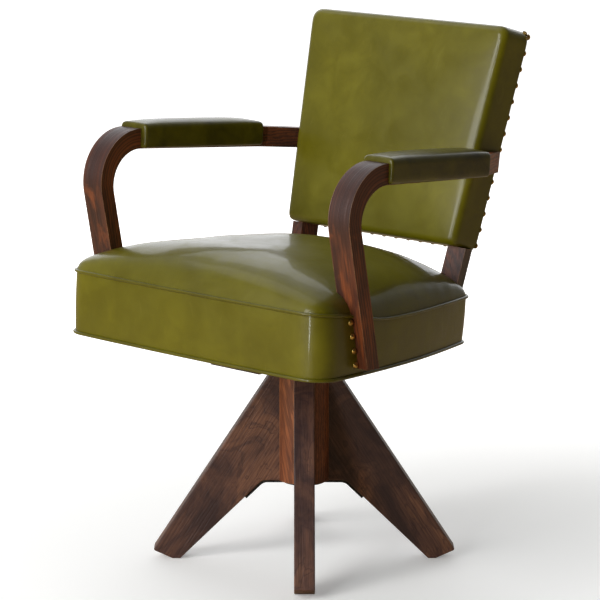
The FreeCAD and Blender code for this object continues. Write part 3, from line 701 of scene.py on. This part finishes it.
def build_back():
    steps = 7
    side = []
    for k in range(steps + 1):
        angle = math.pi / 2 * k / steps
        side.append(back_row(BACK_EDGE_R * (1 - math.sin(angle)), BACK_EDGE_R * (1 - math.cos(angle))))
    for depth in (0.020, 0.027, 0.034, 0.041, 0.048, 0.054, BACK_T - 0.002):
        side.append(back_row(0.0, depth))
    side.append(back_row(0.001, BACK_T - 0.0005))
    side.append(back_row(0.006, BACK_T - 0.0002))
    front = crowned(coons(side[0], BACK_ACROSS, BACK_ALONG), BACK_CROWN, 0.55, Vector((0, -1, 0)))
    cover = piece("back_leather", [to_back(front)], [to_back(side)], leather)
    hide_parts("back_cover", "back_stuffing")
    puff(cover, lambda point: 1.0 - smoothstep(0.004, 0.022, from_border(point)), *BACK_PUFF)

    edge = [back_row(0.0014, BACK_T - 0.001), back_row(0.0014, BACK_T + 0.0002),
            back_row(0.002, BACK_T + 0.0005), back_row(0.012, BACK_T + 0.0005)]
    middle = crowned(coons(edge[-1], BACK_ACROSS, BACK_ALONG), REAR_CROWN, 0.4, Vector((0, 1, 0)))
    rear = piece("back_rear_leather", [to_back(middle)], [to_back(edge)], leather)
    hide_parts("back_rear_panel")
    puff(rear, lambda point: 1.0 - smoothstep(0.013, 0.024, from_border(point)), *REAR_PUFF)


build_back()


# ---- arm pads -----------------------------------------------------------------------------------
def build_pad(side):
    """Leather pad round the arm, a little crowned along its top."""
    name = "right" if side > 0 else "left"
    node_name = name + "_arm_pad"
    inverse = PAD_TO_CHAIR.inverted()
    corners = [inverse @ v.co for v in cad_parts[node_name].data.vertices]
    front, rear = min(p.y for p in corners), max(p.y for p in corners)
    low, high = min(p.z for p in corners), max(p.z for p in corners)
    ends = []
    for y in (front, rear):
        reach = [side * p.x for p in corners if abs(p.y - y) < 0.003]
        ends.append((min(reach), max(reach)))
    across, up = 9, 6
    length_steps = round((rear - front) / CELL)

    def row(y, inset):
        t = (y - front) / (rear - front)
        inner = ends[0][0] + (ends[1][0] - ends[0][0]) * t + inset
        outer = ends[0][1] + (ends[1][1] - ends[0][1]) * t - inset
        radius = max(PAD_EDGE_R - inset * 0.5, 0.0025)
        shape, middles = rounded_loop([(inner, low + inset, radius * 0.7), (outer, low + inset, radius * 0.7),
                                       (outer, high - inset, radius), (inner, high - inset, radius)])
        made = []
        for p in four_sided(shape, middles, (across, up)):
            across_it = (2 * p.x - inner - outer) / (outer - inner)
            rise = PAD_CROWN * (1 - across_it ** 2) * smoothstep(low, high, p.y) * (1 - (2 * t - 1) ** 6)
            made.append(PAD_TO_CHAIR @ Vector((side * p.x, y, p.y + rise)))
        return made

    angles = [math.pi / 2 * k / 4 for k in range(5)]
    rows = []
    for angle in angles:
        rows.append(row(front + PAD_END_R * (1 - math.cos(angle)), PAD_END_R * (1 - math.sin(angle))))
    for k in range(1, length_steps):
        rows.append(row(front + PAD_END_R + (rear - front - 2 * PAD_END_R) * k / length_steps, 0.0))
    for angle in reversed(angles):
        rows.append(row(rear - PAD_END_R * (1 - math.cos(angle)), PAD_END_R * (1 - math.sin(angle))))
    caps = [coons(rows[0], across, up), coons(rows[-1], across, up)]
    pad = piece(name + "_pad_leather", caps, [rows], pad_leather)
    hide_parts(node_name)

    def held(point):
        local = inverse @ point
        from_end = min(local.y - front, rear - local.y)
        return 1.0 - smoothstep(high - 0.016, high - 0.004, local.z) * smoothstep(0.004, 0.020, from_end)

    puff(pad, held, *PAD_PUFF)


for side in (1, -1):
    build_pad(side)
build_dust_cover()

settle()
gather_seat(seat_cover)
finish_leather()


# ---- floor, light and camera --------------------------------------------------------------------
BRIGHT_SIDE = (-0.75, 0.50, 0.43)  # direction from the chair to the brightest part of the room
LIGHT_AIM = Vector((0, 0, 0.5))


def build_stage():
    """Pale floor that glows, which is painted light. To the camera it fades to white away from the chair and
    is dimmer near it, so the chair's shadow shows. To the chair it glows dull and warm, and its colour is
    warmer, a painted warm reflection.
    """
    data = bpy.data.meshes.new("floor")
    reach = 12.0
    data.from_pydata([(-reach, -reach, 0), (reach, -reach, 0), (reach, reach, 0), (-reach, reach, 0)], [],
                     [(0, 1, 2, 3)])
    floor = bpy.data.objects.new("floor", data)
    bpy.context.scene.collection.objects.link(floor)
    made, tree, shader = material("pale_floor", Roughness=0.9, Specular_IOR_Level=0.1)
    where = node(tree, "ShaderNodeTexCoord").outputs["Object"]
    away = node(tree, "ShaderNodeVectorMath", {0: where, 1: (0, 0, 0)}, operation="DISTANCE").outputs["Value"]
    # Painted light: the floor's glow, low near the chair and white further off.
    glow = ramp(tree, maths(tree, "MULTIPLY", away, 0.2), [(0.05, 0.22), (0.45, 1.0)], True)
    seen = node(tree, "ShaderNodeLightPath").outputs["Is Camera Ray"]
    shader.inputs["Emission Strength"].default_value = 1.0
    feed(tree, shader, Emission_Color=mixed(tree, seen, (0.07, 0.055, 0.035, 1), glow),
         Base_Color=mixed(tree, seen, rgb(190, 168, 136), rgb(246, 244, 240)))
    data.materials.append(made)


def softbox(name, azimuth, elevation, distance, size, power, colour=(1, 1, 1)):
    """Area light seen from the chair at an azimuth (0 is straight in front of the seat) and elevation."""
    a, e = math.radians(azimuth), math.radians(elevation)
    away = Vector((math.sin(a) * math.cos(e), -math.cos(a) * math.cos(e), math.sin(e)))
    light = bpy.data.lights.new(name, "AREA")
    light.shape = "RECTANGLE"
    light.size, light.size_y = size
    light.energy = power
    light.color = colour
    lamp = bpy.data.objects.new(name, light)
    lamp.location = LIGHT_AIM + away * distance
    lamp.rotation_euler = away.to_track_quat("Z", "Y").to_euler()
    bpy.context.scene.collection.objects.link(lamp)


def build_light():
    """White to the camera. What lights the chair is bright behind it to the left and dim to the right."""
    world = bpy.data.worlds.new("studio")
    world.use_nodes = True
    tree = world.node_tree
    room = node(tree, "ShaderNodeTexCoord").outputs["Generated"]
    nearness = node(tree, "ShaderNodeVectorMath", {0: room, 1: BRIGHT_SIDE}, operation="DOT_PRODUCT")
    share = maths(tree, "MULTIPLY_ADD", nearness.outputs["Value"], 0.5, False, 0.5)
    walls = ramp(tree, share, [(0.10, (0.03, 0.024, 0.016, 1)), (0.55, (0.13, 0.13, 0.12, 1)),
                               (0.95, (0.50, 0.52, 0.55, 1))], True)
    seen = node(tree, "ShaderNodeLightPath").outputs["Is Camera Ray"]
    tree.links.new(mixed(tree, seen, walls, (1, 1, 1, 1)), tree.nodes["Background"].inputs["Color"])
    bpy.context.scene.world = world
    softbox("window", -14, 22, 5.6, (2.0, 4.0), 208, (0.97, 0.98, 1.0))
    softbox("window_edge", 12, 8, 3.2, (0.22, 2.4), 36, (0.92, 0.97, 1.0))
    softbox("behind", 222, 20, 3.6, (5.0, 3.1), 60, (0.97, 0.98, 1.0))
    softbox("overhead", -70, 66, 3.4, (2.4, 2.4), 16)
    bpy.context.scene.view_settings.view_transform = "Standard"


CAMERA_AZIMUTH = math.radians(43.046)
CAMERA_DISTANCE = 4.6256
CAMERA_HEIGHT = 1.3542
CAMERA_PAN = math.radians(0.081)
CAMERA_TILT = math.radians(11.467)
CAMERA_SENSOR = 36.0               # millimetres
CAMERA_LENS = 180.7


def build_camera():
    data = bpy.data.cameras.new("camera")
    data.sensor_width = CAMERA_SENSOR
    data.lens = CAMERA_LENS
    camera = bpy.data.objects.new("camera", data)
    camera.location = (math.sin(CAMERA_AZIMUTH) * CAMERA_DISTANCE,
                       -math.cos(CAMERA_AZIMUTH) * CAMERA_DISTANCE, CAMERA_HEIGHT)
    camera.rotation_euler = (math.pi / 2 - CAMERA_TILT, 0, CAMERA_AZIMUTH + CAMERA_PAN)
    bpy.context.scene.collection.objects.link(camera)
    bpy.context.scene.camera = camera


build_stage()
build_light()
build_camera()
